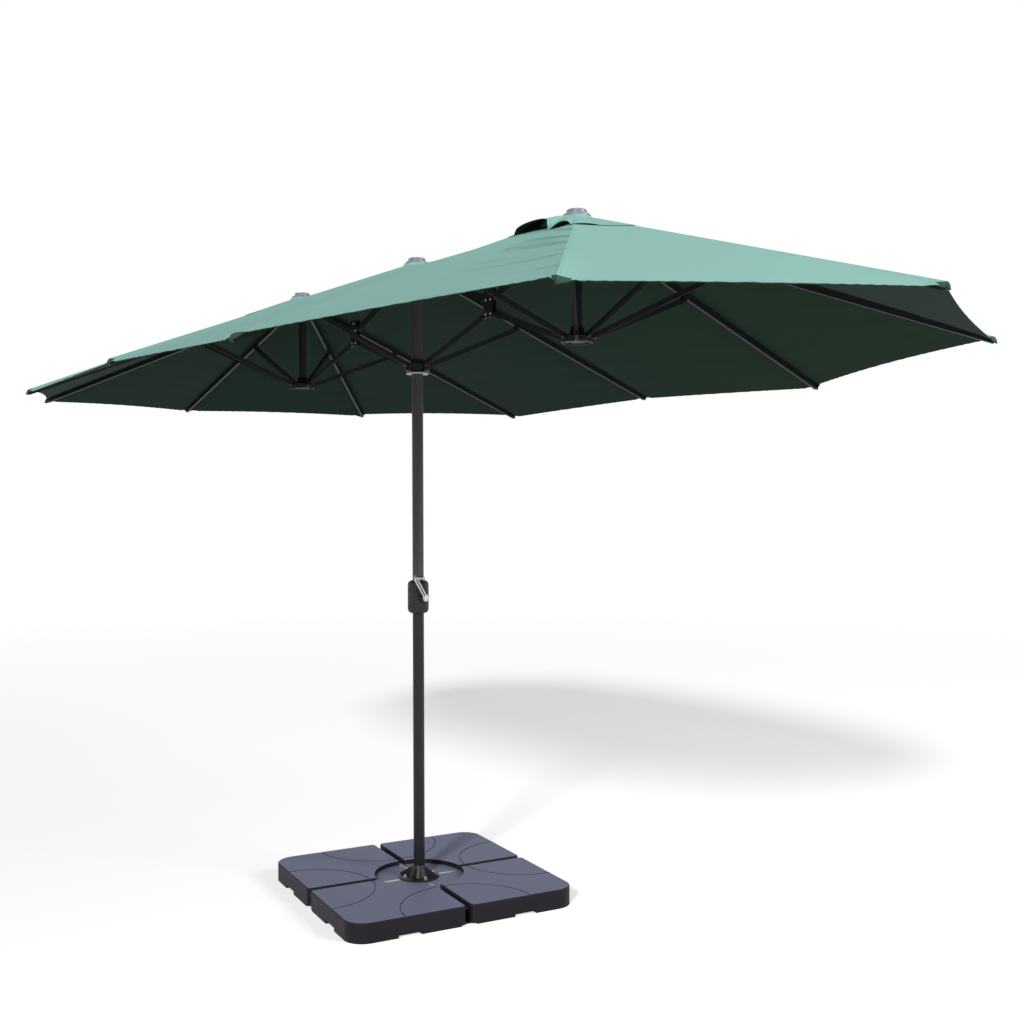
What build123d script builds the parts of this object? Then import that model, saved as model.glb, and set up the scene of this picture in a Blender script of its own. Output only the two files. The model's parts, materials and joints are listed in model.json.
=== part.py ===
from build123d import *
from math import atan2, cos, hypot, radians, sin, tan
import os

# Rectangular double-ended patio umbrella on a four-plate stand, drawn open.
# X runs along the long axis of the canopy, Z up, origin on the floor under the mast.
# The mast carries the centre hub. Each side hub hangs on a folding link of two short ribs.

# ---------------------------------------------------------------- driving dimensions, mm
overall_height = 2409.0        # floor to the top of the caps
hub_spacing = 947.0            # mast axis to the axis of each side hub
base_yaw = -8.8                # degrees that the stand is turned about the mast

# long ribs: reach is hub axis to rib tip, drop is hinge down to rib tip
end_reach = 1334.0
end_drop_height = 389.0
corner_reach = 1258.0
corner_drop_height = 406.0
corner_azimuth = 41.9          # degrees from the long axis
side_reach = 1174.0
side_drop_height = 454.0
middle_reach = 1178.0
middle_drop_height = 427.0

# folding
fold_travel_length = 560.0            # runner travel from open to folded
closed_angle = 76.0            # degrees below level of a folded long rib
runner_depth = 361.0           # rib hinges down to the strut pivots in runner and lower hubs

# rib and strut sections
rib_width = 12.0
rib_height = 18.0
rib_wall = 1.0
strut_width = 10.0
strut_height = 16.0
strut_wall = 1.2
eye_length = 24.0              # solid length at the end of a rib or strut
tip_length = 34.0              # moulded rib tip that stands out of the tube
tip_nose_height = 9.0                 # height of the tip at its outer end
clip_drop_height = 19.0               # strut pivot below the rib's centre line
clip_plate_thickness = 2.0
clip_radius = 9.0
hinge_pin_radius = 3.0
rivet_radius = 2.5
pin_clearance = 0.08
slot_clearance = 0.5           # each side of a rib or strut in a hub slot
fit_gap = 0.1                  # between pieces that are pushed together

# top hubs
hinge_radius = 38.0            # hub axis to the rib hinges
hub_radius = 52.0
hub_above_height = 12.0
hub_below_height = 12.0
hub_drum_radius = 43.0         # boss that lifts the fabric
hub_drum_height = 11.4
hub_collar_length = 20.0
hub_collar_wall = 5.0
slot_floor_radius = 28.0              # hub axis to the inner end of a slot
mast_grip_length = 18.0               # mast inside its hub, above the hub's lower face

# caps
cap_height = 22.0
cap_radius = 45.0
cap_flange_height = 8.0
cap_dome_radius = 33.0
cap_dome_round_radius = 5.0
cap_stem_radius = 6.0
cap_stem_length = 16.0

# mast
mast_radius = 21.5
mast_wall = 1.5
mast_joint_z = 1020.0          # where the upper pole meets the lower pole
spigot_length = 60.0           # sleeve into each pole at that joint
spigot_wall = 1.8
slide_gap = 0.3                # runner on mast, post in socket

# runner
runner_radius = 47.0
runner_below_height = 12.0
runner_above_height = 8.0
sleeve_radius = 27.0
sleeve_length = 50.0
ring_thickness = 6.0           # pale ring under the runner, between its struts

# side posts and lower hubs
post_radius = 15.5
post_wall = 1.5
lower_hub_radius = 52.0
lower_hub_above_height = 8.0
lower_hub_below_height = 10.0
lower_hub_rim_height = 4.0            # rim that stands down from the lower hub's edge
lower_boss_height = 38.0       # conical boss above the hinge line
lower_boss_wall = 4.5

# brackets between the short ribs
bracket_rib_depth = 172.0      # rib hinges down to the bracket's rib rivets
bracket_strut_depth = 222.0    # rib hinges down to its strut rivets
bracket_half_pitch = 14.0      # half the distance between the two columns of rivets
bracket_plate_thickness = 2.0
bracket_margin_width = 12.0
bracket_top_rivet_height = 30.0       # spacer rivet above the rib rivets
rivet_head_radius = 4.5
rivet_head_height = 1.5

# canopy
fabric_thickness = 2.0
soft_gap = 0.3                 # fabric to the hub under it and the cap on it
rib_gap = 1.5                  # fabric above the ribs
tip_show_length = 6.0                 # rib tip outside the fabric
edge_sag = 0.020               # inward bow of a free edge, as a share of its length
ridge_drop_height = 6.7               # ridge between hubs, below the fabric at the hubs
shoulder_radius = 90.0         # where the fabric comes down onto the ribs
clamp_radius = 48.0            # flat ring of fabric on a hub
seam_depth = 9.0               # seams over the ribs start this far below that ring
fabric_hole = 9.0              # around a cap's stem
vent_radius = 150.0            # hole in the canopy round each side hub
flap_radius = 270.0            # flap that covers it
flap_gap = 5.0                 # flap above the canopy
flap_arch_height = 12.0        # more than that on the side towards the mast

# crank
crank_z = 1120.0
housing_height = 125.0
housing_top_height = 65.0             # housing above the crank's axis
housing_radius = 40.0
housing_wall = 3.0
housing_round_radius = 17.0
housing_split_gap = 0.2            # seam between the two shells
housing_boss_radius = 19.0
housing_boss_length = 48.0      # mast axis to the face of the boss
shaft_radius = 5.0
shaft_clearance = 0.08
drum_radius = 13.0
drum_core_radius = 8.0
drum_length = 26.0
drum_flange_thickness = 3.0
crank_length = 92.0
crank_tilt = 31.0              # degrees from upright, towards -Y
crank_thickness = 7.0
crank_width = 15.0
crank_hub_radius = 13.0
crank_groove_depth = 1.5
grip_radius = 6.5
grip_length = 58.0
grip_pin_radius = 3.5
screw_radius = 3.5

# stand
plate_side_length = 428.0
plate_gap = 21.0
plate_height = 70.0
plate_corner_radius = 75.0            # outer corner
plate_small_corner_radius = 16.0
plate_edge_radius = 6.0
recess_radius = 170.0
recess_depth = 17.0
groove_radius = 242.0          # shallow arcs centred on the outer ends of the gaps
groove_width = 5.0
groove_depth = 2.5
notch_length = 86.0            # finger notches in the lower outer edges
notch_height = 12.0
notch_depth = 24.0
arm_width = 18.0
arm_wall = 2.0
arm_setback_length = 18.0             # arm end inside the plates' outer face
strip_width = 60.0             # flat strips that the plates hold down
strip_thickness = 4.0
strip_gap = 0.3
flange_radius = 76.0
flange_thickness = 5.0
stub_length = 170.0
stub_wall = 2.5
collar_height = 42.0
collar_radius = 39.0
gusset_thickness = 5.0
gusset_height = 34.0
bolt_circle_radius = 58.0
bolt_radius = 6.5
bolt_height = 9.0
washer_radius = 9.5
washer_thickness = 1.6

# ---------------------------------------------------------------- worked-out levels
cap_seat_z = overall_height - cap_height
fabric_top_z = cap_seat_z - soft_gap
hub_top_z = fabric_top_z - fabric_thickness - soft_gap
hinge_z = hub_top_z - hub_drum_height - hub_above_height
hub_bottom_z = hinge_z - hub_below_height
lower_hinge_z = hinge_z - runner_depth
bracket_rib_z = hinge_z - bracket_rib_depth
bracket_strut_z = hinge_z - bracket_strut_depth
ridge_z = fabric_top_z - ridge_drop_height
rib_slot = rib_width + 2 * slot_clearance
strut_slot = strut_width + 2 * slot_clearance
bracket_x = hub_spacing / 2
recess_z = plate_height - recess_depth
foot_z = recess_z + flange_thickness
mast_bore = mast_radius - mast_wall
post_seat_z = lower_hinge_z + lower_hub_above_height - lower_hub_below_height

end_spoke = (end_reach, end_drop_height)
corner_spoke = (corner_reach, corner_drop_height)
side_spoke = (side_reach, side_drop_height)
middle_spoke = (middle_reach, middle_drop_height)


# ---------------------------------------------------------------- the folding linkage
def open_angle(spoke):
    """Slope of a long rib below level while the umbrella is open, in radians."""
    reach, drop = spoke
    return atan2(drop, reach - hinge_radius)


def strut_station(spoke):
    """Distance along a rib to its strut, so that the strut fits both open and folded.

    The strut's two pivots are equally far apart in both positions, which gives one
    linear equation for the distance.
    """
    spans = []
    for angle, lowered in ((open_angle(spoke), 0), (radians(closed_angle), fold_travel_length)):
        across = hinge_radius - clip_drop_height * sin(angle) - hinge_radius
        up = hinge_z - clip_drop_height * cos(angle) - lower_hinge_z + lowered
        spans.append((across**2 + up**2, across * cos(angle) - up * sin(angle)))
    (open_square, open_dot), (closed_square, closed_dot) = spans
    return (closed_square - open_square) / (2 * (open_dot - closed_dot))


def strut_pivot(spoke, angle):
    """Radius and height of the pivot that hangs under a rib at a given slope."""
    along = strut_station(spoke)
    radius = hinge_radius + along * cos(angle) - clip_drop_height * sin(angle)
    height = hinge_z - along * sin(angle) - clip_drop_height * cos(angle)
    return radius, height


# ---------------------------------------------------------------- planes and points
def radial_point(hub_x, azimuth, radius, height):
    """Point at a radius and height from a hub's axis, azimuth in degrees."""
    turn = radians(azimuth)
    return Vector(hub_x + radius * cos(turn), radius * sin(turn), height)


def link_plane(hub_x, azimuth, start, end):
    """Upright plane of a rib or strut: x runs from start to end, z is the hinge axis."""
    turn = radians(azimuth)
    origin = radial_point(hub_x, azimuth, *start)
    along = radial_point(hub_x, azimuth, *end) - origin
    return Plane(origin=origin, x_dir=along, z_dir=(sin(turn), -cos(turn), 0))


def level_plane(hub_x, height, azimuth=0):
    """Level plane on a hub's axis, with x along the azimuth."""
    turn = radians(azimuth)
    return Plane(origin=(hub_x, 0, height), x_dir=(cos(turn), sin(turn), 0), z_dir=(0, 0, 1))


def save(piece, name):
    """Label a finished piece and write it under the same name."""
    piece.part.label = name
    export_step(piece.part, f"parts/{name}.step")


# ---------------------------------------------------------------- ribs and struts
def build_long_rib(hub_x, azimuth, spoke):
    """Box tube with a hinge eye, a riveted strut clip and a moulded tip."""
    reach, drop = spoke
    side = link_plane(hub_x, azimuth, (hinge_radius, hinge_z), (reach, hinge_z - drop))
    length = hypot(reach - hinge_radius, drop)
    tube_end = length - tip_length
    station = strut_station(spoke)
    half_bore = rib_height / 2 - rib_wall
    with BuildPart() as rib:
        with BuildSketch(side):
            with Locations((tube_end / 2, 0)):
                Rectangle(tube_end, rib_height)
            Circle(rib_height / 2)
            with Locations((station, -clip_drop_height / 2)):
                Rectangle(2 * clip_radius, clip_drop_height)
            with Locations((station, -clip_drop_height)):
                Circle(clip_radius)
            Circle(hinge_pin_radius + pin_clearance, mode=Mode.SUBTRACT)
        extrude(amount=rib_width / 2, both=True)
        with BuildSketch(side):
            with Locations((station, -clip_drop_height)):
                Circle(clip_radius)
            with Locations((station, -clip_drop_height / 2)):
                Rectangle(2 * clip_radius, clip_drop_height)
        extrude(amount=rib_width / 2 + clip_plate_thickness, both=True)
        # the strut's end turns between the cheeks of the clip
        with BuildSketch(side):
            with Locations((station, -rib_height / 2)):
                Rectangle(2.2 * clip_radius, 2 * clip_drop_height, align=(Align.CENTER, Align.MAX))
        extrude(amount=rib_width / 2, both=True, mode=Mode.SUBTRACT)
        with BuildSketch(side):
            with Locations((station, -clip_drop_height)):
                Circle(rivet_radius)
        extrude(amount=rib_width / 2 + clip_plate_thickness + rivet_head_height, both=True)
        # bore of the tube, open at its outer end
        with BuildSketch(side):
            with Locations((tube_end, 0)):
                Rectangle(tube_end - eye_length, 2 * half_bore, align=(Align.MAX, Align.CENTER))
        extrude(amount=rib_width / 2 - rib_wall, both=True, mode=Mode.SUBTRACT)
        # moulded tip, plugged into the tube
        with BuildSketch(side):
            with Locations((tube_end, 0)):
                Rectangle(eye_length, 2 * (half_bore - fit_gap))
        extrude(amount=rib_width / 2 - rib_wall - fit_gap, both=True)
        with BuildSketch(side):
            with BuildLine():
                Polyline(
                    (tube_end + fit_gap, -rib_height / 2),
                    (length - tip_nose_height / 2, -rib_height / 2),
                    (length, tip_nose_height / 2 - rib_height / 2),
                    (length, tip_nose_height - rib_height / 2),
                    (length - 2 * tip_nose_height, rib_height / 2),
                    (tube_end + fit_gap, rib_height / 2),
                    close=True,
                )
            make_face()
        extrude(amount=rib_width / 2, both=True)
    return rib


def build_channel(side, length, width, height, pinned_start):
    """Folded channel, open below, with round ends and an eye at its far end.

    The near end has an eye as well, or its own pin where it works in an open slot.
    """
    with BuildPart() as channel:
        with BuildSketch(side):
            with Locations((length / 2, 0)):
                SlotCenterToCenter(length, height)
            with Locations((length, 0)):
                Circle(hinge_pin_radius + pin_clearance, mode=Mode.SUBTRACT)
            if not pinned_start:
                Circle(hinge_pin_radius + pin_clearance, mode=Mode.SUBTRACT)
        extrude(amount=width / 2, both=True)
        with BuildSketch(side):
            with Locations((length / 2, -strut_wall)):
                Rectangle(length - 2 * eye_length, height)
        extrude(amount=width / 2 - strut_wall, both=True, mode=Mode.SUBTRACT)
        if pinned_start:
            with BuildSketch(side):
                Circle(hinge_pin_radius)
            extrude(amount=width / 2 + slot_clearance / 2, both=True)
    return channel


def build_long_strut(hub_x, azimuth, spoke):
    """Strut from the runner or a lower hub up to the clip under a long rib."""
    lower = (hinge_radius, lower_hinge_z)
    upper = strut_pivot(spoke, open_angle(spoke))
    length = hypot(upper[0] - lower[0], upper[1] - lower[1])
    side = link_plane(hub_x, azimuth, lower, upper)
    return build_channel(side, length, strut_width, strut_height, pinned_start=True)


def build_short_rib(hub_x, azimuth):
    """Short rib from a top hub down to the bracket."""
    inner = (hinge_radius, hinge_z)
    outer = (bracket_x - bracket_half_pitch, bracket_rib_z)
    length = hypot(outer[0] - inner[0], outer[1] - inner[1])
    side = link_plane(hub_x, azimuth, inner, outer)
    return build_channel(side, length, rib_width, rib_height, pinned_start=False)


def build_short_strut(hub_x, azimuth):
    """Short strut from the runner or a lower hub up to the bracket."""
    inner = (hinge_radius, lower_hinge_z)
    outer = (bracket_x - bracket_half_pitch, bracket_strut_z)
    length = hypot(outer[0] - inner[0], outer[1] - inner[1])
    side = link_plane(hub_x, azimuth, inner, outer)
    return build_channel(side, length, strut_width, strut_height, pinned_start=True)


def build_bracket(centre_x):
    """Two upright plates riveted together, which join the short ribs and struts."""
    side = Plane(origin=(centre_x, 0, 0), x_dir=(1, 0, 0), z_dir=(0, -1, 0))
    gap = rib_width / 2 + slot_clearance
    top = bracket_rib_z + bracket_top_rivet_height + bracket_margin_width
    bottom = bracket_strut_z - bracket_margin_width
    width = 2 * (bracket_half_pitch + bracket_margin_width)
    columns = (-bracket_half_pitch, bracket_half_pitch)
    pivots = [(x, z) for x in columns for z in (bracket_rib_z, bracket_strut_z)]
    pivots.append((0, bracket_rib_z + bracket_top_rivet_height))
    with BuildPart() as bracket:
        with BuildSketch(side):
            with Locations((0, (top + bottom) / 2)):
                RectangleRounded(width, top - bottom, bracket_margin_width)
        extrude(amount=gap + bracket_plate_thickness, both=True)
        with BuildSketch(side):
            with Locations((0, (top + bottom) / 2)):
                Rectangle(width, top - bottom)
        extrude(amount=gap, both=True, mode=Mode.SUBTRACT)
        with BuildSketch(side):
            with Locations(*pivots):
                Circle(hinge_pin_radius)
        extrude(amount=gap, both=True)
        outside = gap + bracket_plate_thickness
        for face_offset in (outside, -outside - rivet_head_height):
            with BuildSketch(side.offset(face_offset)):
                with Locations(*pivots):
                    Circle(rivet_head_radius)
            extrude(amount=rivet_head_height)
    return bracket


# ---------------------------------------------------------------- hubs, runner and caps
def radial_slots(hub_x, azimuths, width, height):
    """Level faces of the radial slots in a hub, open outwards."""
    with BuildSketch(level_plane(hub_x, height)) as slots:
        for azimuth in azimuths:
            with PolarLocations(slot_floor_radius, 1, start_angle=azimuth):
                Rectangle(2 * hub_radius, width, align=(Align.MIN, Align.CENTER))
    return slots.sketch


def build_top_hub(hub_x, azimuths, core_radius, core_grip):
    """Slotted star hub with a raised drum, a collar below and a pin in each slot."""
    with BuildPart() as hub:
        with BuildSketch(level_plane(hub_x, hub_bottom_z)):
            Circle(hub_radius)
        extrude(amount=hub_below_height + hub_above_height)
        chamfer(hub.edges().filter_by(GeomType.CIRCLE), 1.5)
        with BuildSketch(level_plane(hub_x, hinge_z + hub_above_height)):
            Circle(hub_drum_radius)
        extrude(amount=hub_drum_height)
        fillet(hub.edges().group_by(Axis.Z)[-1], 3)
        slots = radial_slots(hub_x, azimuths, rib_slot, hub_bottom_z)
        extrude(slots, hub_below_height + hub_above_height, mode=Mode.SUBTRACT)
        with BuildSketch(level_plane(hub_x, hub_bottom_z - hub_collar_length)):
            Circle(core_radius + hub_collar_wall)
        extrude(amount=hub_collar_length)
        with BuildSketch(level_plane(hub_x, hub_bottom_z - hub_collar_length)):
            Circle(core_radius + fit_gap)
        extrude(amount=hub_collar_length + core_grip, mode=Mode.SUBTRACT)
        with BuildSketch(level_plane(hub_x, hub_top_z)):
            Circle(cap_stem_radius + fit_gap)
        extrude(amount=-cap_stem_length, mode=Mode.SUBTRACT)
        for azimuth in azimuths:
            start = (hinge_radius, hinge_z)
            with BuildSketch(link_plane(hub_x, azimuth, start, (hub_radius, hinge_z))):
                Circle(hinge_pin_radius)
            extrude(amount=rib_slot / 2 - fit_gap, both=True)
    return hub


def build_cap(hub_x):
    """Stepped round cap with a stem that screws into its hub."""
    flange_top_z = cap_seat_z + cap_flange_height
    with BuildPart() as cap:
        with BuildSketch(level_plane(hub_x, cap_seat_z)):
            Circle(cap_radius)
        extrude(amount=cap_flange_height / 2)
        with BuildSketch(level_plane(hub_x, cap_seat_z + cap_flange_height / 2)):
            Circle(cap_radius)
        extrude(amount=cap_flange_height / 2, taper=50)
        with BuildSketch(level_plane(hub_x, flange_top_z)):
            Circle(cap_dome_radius)
        extrude(amount=overall_height - flange_top_z)
        fillet(cap.edges().group_by(Axis.Z)[-1], cap_dome_round_radius)
        with BuildSketch(level_plane(hub_x, cap_seat_z)):
            Circle(cap_stem_radius)
        extrude(amount=hub_top_z - cap_stem_length + fit_gap - cap_seat_z)
    return cap


def build_post(hub_x):
    """Tube that hangs from a side hub and stands in the lower hub's socket."""
    with BuildPart() as post:
        with BuildSketch(level_plane(hub_x, post_seat_z + slide_gap)):
            Circle(post_radius)
            Circle(post_radius - post_wall, mode=Mode.SUBTRACT)
        extrude(amount=hub_bottom_z + hub_below_height - post_seat_z - slide_gap)
    return post


def build_lower_hub(hub_x, azimuths):
    """Slotted disc with a rim below and a conical socket for the post."""
    socket_radius = post_radius + slide_gap
    top = lower_hinge_z + lower_hub_above_height
    bottom = lower_hinge_z - lower_hub_below_height
    boss_top = lower_hinge_z + lower_boss_height
    with BuildPart() as lower_hub:
        with BuildSketch(Plane.XZ.move(Location((hub_x, 0, 0)))):
            with BuildLine():
                Polyline(
                    (0, post_seat_z),
                    (0, bottom),
                    (lower_hub_radius - 6, bottom),
                    (lower_hub_radius - 5, bottom - lower_hub_rim_height),
                    (lower_hub_radius - 1, bottom - lower_hub_rim_height),
                    (lower_hub_radius, bottom),
                    (lower_hub_radius, top - 2),
                    (lower_hub_radius - 2, top),
                    (slot_floor_radius - 1, top),
                    (socket_radius + lower_boss_wall, boss_top),
                    (socket_radius + 1, boss_top),
                    (socket_radius, boss_top - 1),
                    (socket_radius, post_seat_z),
                    close=True,
                )
            make_face()
        revolve(axis=Axis((hub_x, 0, 0), (0, 0, 1)))
        slots = radial_slots(hub_x, azimuths, strut_slot, bottom - lower_hub_rim_height)
        extrude(slots, top - bottom + lower_hub_rim_height, mode=Mode.SUBTRACT)
    return lower_hub


# spokes of each hub, as azimuth and size; short ribs lie along the long axis
middle_spokes = {"back": (90, middle_spoke), "front": (270, middle_spoke)}
right_spokes = {
    "back": (90, side_spoke),
    "back_corner": (corner_azimuth, corner_spoke),
    "end": (0, end_spoke),
    "front_corner": (-corner_azimuth, corner_spoke),
    "front": (-90, side_spoke),
}
hands = {"right": 1, "left": -1}


def hand_azimuth(hand, azimuth):
    """The azimuth itself on the right half, mirrored on the left half."""
    return azimuth if hand > 0 else 180 - azimuth


os.makedirs("parts", exist_ok=True)

# ---------------------------------------------------------------- ribs and links of each half
for name, (azimuth, spoke) in middle_spokes.items():
    save(build_long_rib(0, azimuth, spoke), f"middle_rib_{name}")
    save(build_long_strut(0, azimuth, spoke), f"middle_strut_{name}")

for hand_name, hand in hands.items():
    hub_x = hand * hub_spacing
    outward = hand_azimuth(hand, 0)
    inward = hand_azimuth(hand, 180)
    for name, (azimuth, spoke) in right_spokes.items():
        turned = hand_azimuth(hand, azimuth)
        save(build_long_rib(hub_x, turned, spoke), f"{hand_name}_rib_{name}")
        save(build_long_strut(hub_x, turned, spoke), f"{hand_name}_strut_{name}")
    save(build_short_rib(0, outward), f"{hand_name}_inner_short_rib")
    save(build_short_strut(0, outward), f"{hand_name}_inner_short_strut")
    save(build_short_rib(hub_x, inward), f"{hand_name}_outer_short_rib")
    save(build_short_strut(hub_x, inward), f"{hand_name}_outer_short_strut")
    save(build_bracket(hand * bracket_x), f"{hand_name}_link_bracket")

    azimuths = [hand_azimuth(hand, azimuth) for azimuth, _ in right_spokes.values()] + [inward]
    hub_body = build_top_hub(hub_x, azimuths, post_radius, hub_below_height)
    post_body = build_post(hub_x)
    with BuildPart() as side_hub:
        add(hub_body.part)
        add(post_body.part)
    save(side_hub, f"{hand_name}_hub_and_post")
    save(build_cap(hub_x), f"{hand_name}_cap")
    save(build_lower_hub(hub_x, azimuths), f"{hand_name}_lower_hub")

# ---------------------------------------------------------------- mast
cross_azimuths = (0, 90, 180, 270)
save(build_top_hub(0, cross_azimuths, mast_radius, mast_grip_length), "centre_hub")
save(build_cap(0), "centre_cap")

with BuildPart() as lower_pole:
    with BuildSketch(level_plane(0, foot_z)):
        Circle(mast_radius)
        Circle(mast_bore, mode=Mode.SUBTRACT)
    extrude(amount=mast_joint_z - foot_z)
    # swaged sleeve that enters the upper pole
    with BuildSketch(level_plane(0, mast_joint_z - spigot_length)):
        Circle(mast_bore)
        Circle(mast_bore - spigot_wall, mode=Mode.SUBTRACT)
    extrude(amount=spigot_length)
    with BuildSketch(level_plane(0, mast_joint_z)):
        Circle(mast_bore - fit_gap)
        Circle(mast_bore - spigot_wall, mode=Mode.SUBTRACT)
    extrude(amount=spigot_length)
save(lower_pole, "lower_pole")

with BuildPart() as upper_pole:
    with BuildSketch(level_plane(0, mast_joint_z)):
        Circle(mast_radius)
        Circle(mast_bore, mode=Mode.SUBTRACT)
    extrude(amount=hub_bottom_z + mast_grip_length - mast_joint_z)
    # holes for the crank's shaft
    with BuildSketch(Plane.YZ):
        with Locations((0, crank_z)):
            Circle(shaft_radius + shaft_clearance)
    extrude(amount=2 * mast_radius, both=True, mode=Mode.SUBTRACT)
save(upper_pole, "upper_pole")

# ---------------------------------------------------------------- runner
runner_bore = mast_radius + slide_gap
with BuildPart() as runner:
    with BuildSketch(level_plane(0, lower_hinge_z - sleeve_length / 2)):
        Circle(sleeve_radius)
    extrude(amount=sleeve_length)
    chamfer(runner.edges().filter_by(GeomType.CIRCLE), 1.5)
    with BuildSketch(level_plane(0, lower_hinge_z - runner_below_height)):
        Circle(runner_radius)
    extrude(amount=runner_below_height + runner_above_height)
    slots = radial_slots(0, cross_azimuths, strut_slot, lower_hinge_z - runner_below_height)
    extrude(slots, runner_below_height + runner_above_height, mode=Mode.SUBTRACT)
    with BuildSketch(level_plane(0, lower_hinge_z - sleeve_length)):
        Circle(runner_bore)
    extrude(amount=2 * sleeve_length, mode=Mode.SUBTRACT)
    # ring below the slots, cut through like the runner
    with BuildSketch(level_plane(0, lower_hinge_z - runner_below_height)):
        Circle(runner_radius - 1)
        Circle(slot_floor_radius, mode=Mode.SUBTRACT)
        for azimuth in cross_azimuths[:2]:
            Rectangle(2 * runner_radius, strut_slot, rotation=azimuth, mode=Mode.SUBTRACT)
    extrude(amount=-ring_thickness)
save(runner, "runner")

# ---------------------------------------------------------------- crank
housing_bottom_z = crank_z + housing_top_height - housing_height


def build_housing_half(side):
    """Half of the crank's barrel housing, split on the plane of the crank's shaft."""
    with BuildPart() as half:
        with BuildSketch(level_plane(0, housing_bottom_z)):
            Circle(housing_radius)
        extrude(amount=housing_height)
        fillet(half.edges().filter_by(GeomType.CIRCLE), housing_round_radius)
        with BuildSketch(Plane.YZ):
            with Locations((0, crank_z)):
                Circle(housing_boss_radius)
        extrude(amount=housing_boss_length)
        # hollow inside, around the pole
        with BuildSketch(level_plane(0, housing_bottom_z + housing_round_radius)):
            Circle(housing_radius - housing_wall)
        extrude(amount=housing_height - 2 * housing_round_radius, mode=Mode.SUBTRACT)
        with BuildSketch(level_plane(0, housing_bottom_z)):
            Circle(mast_radius + fit_gap)
        extrude(amount=housing_height, mode=Mode.SUBTRACT)
        with BuildSketch(Plane.YZ):
            with Locations((0, crank_z)):
                Circle(shaft_radius + shaft_clearance)
        extrude(amount=2 * housing_boss_length, both=True, mode=Mode.SUBTRACT)
        # parting line near the top, where the lid of the barrel begins
        band_z = crank_z + housing_top_height - housing_round_radius - housing_wall
        with BuildSketch(level_plane(0, band_z)):
            Circle(housing_radius + 1)
            Circle(housing_radius - 1, mode=Mode.SUBTRACT)
        extrude(amount=2, mode=Mode.SUBTRACT)
        keep = Plane.XZ.offset(side * housing_split_gap / 2)
        split(bisect_by=keep, keep=Keep.TOP if side > 0 else Keep.BOTTOM)
    return half


save(build_housing_half(1), "crank_housing_front")
save(build_housing_half(-1), "crank_housing_back")

with BuildPart() as crank_drum:
    with BuildSketch(Plane.YZ.offset(-housing_radius + housing_wall)):
        with Locations((0, crank_z)):
            Circle(shaft_radius)
    extrude(amount=housing_radius - housing_wall + housing_boss_length + slide_gap)
    with BuildSketch(Plane.YZ):
        with Locations((0, crank_z)):
            Circle(drum_core_radius)
    extrude(amount=drum_length / 2, both=True)
    for start in (-drum_length / 2, drum_length / 2 - drum_flange_thickness):
        with BuildSketch(Plane.YZ.offset(start)):
            with Locations((0, crank_z)):
                Circle(drum_radius)
        extrude(amount=drum_flange_thickness)
save(crank_drum, "crank_drum")

# the arm lies in its own plane, x outwards along the arm
crank_x = housing_boss_length + slide_gap
lean = radians(crank_tilt)
arm_plane = Plane(
    origin=(crank_x, 0, crank_z), x_dir=(0, -sin(lean), cos(lean)), z_dir=(1, 0, 0)
)
with BuildPart() as crank_arm:
    with BuildSketch(arm_plane):
        with Locations((crank_length / 2, 0)):
            SlotCenterToCenter(crank_length, crank_width)
        Circle(crank_hub_radius)
    extrude(amount=crank_thickness)
    with BuildSketch(arm_plane.offset(crank_thickness)):
        with Locations((crank_length / 2, 0)):
            SlotCenterToCenter(crank_length - 2 * crank_hub_radius, crank_width / 2)
    extrude(amount=-crank_groove_depth, mode=Mode.SUBTRACT)
    with BuildSketch(arm_plane.offset(crank_thickness)):
        Circle(crank_hub_radius * 0.7)
        with Locations((crank_length, 0)):
            Circle(grip_radius)
    extrude(amount=2)
    with BuildSketch(arm_plane.offset(crank_thickness)):
        with Locations((crank_length, 0)):
            Circle(grip_pin_radius)
    extrude(amount=grip_length - 6)
save(crank_arm, "crank_arm")

grip_start = crank_thickness + 2 + slide_gap
with BuildPart() as crank_grip:
    with BuildSketch(arm_plane.offset(grip_start)):
        with Locations((crank_length, 0)):
            Circle(grip_radius)
    extrude(amount=grip_length)
    fillet(crank_grip.edges().group_by(Axis.X)[-1], 2.5)
    with BuildSketch(arm_plane.offset(grip_start)):
        with Locations((crank_length, 0)):
            Circle(grip_pin_radius + pin_clearance)
    extrude(amount=grip_length - 6, mode=Mode.SUBTRACT)
save(crank_grip, "crank_grip")

# ---------------------------------------------------------------- stand
def base_plane(height, quarter=0):
    """Level plane of the turned stand, further turned by quarter turns."""
    return level_plane(0, height, base_yaw + 90 * quarter)


plate_reach = plate_gap / 2 + plate_side_length
arm_length = 2 * (plate_reach - arm_setback_length)
with BuildPart() as cross_base:
    for quarter in (0, 1):
        with BuildSketch(base_plane(0, quarter)):
            Rectangle(arm_length, strip_width)
        extrude(amount=strip_thickness)
        with BuildSketch(base_plane(strip_thickness, quarter)):
            Rectangle(arm_length, arm_width)
        extrude(amount=recess_z - strip_thickness)
    for quarter in (0, 1):
        with BuildSketch(base_plane(strip_thickness + arm_wall, quarter)):
            Rectangle(arm_length, arm_width - 2 * arm_wall)
        extrude(amount=recess_z - strip_thickness - 2 * arm_wall, mode=Mode.SUBTRACT)
save(cross_base, "cross_base")


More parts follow.
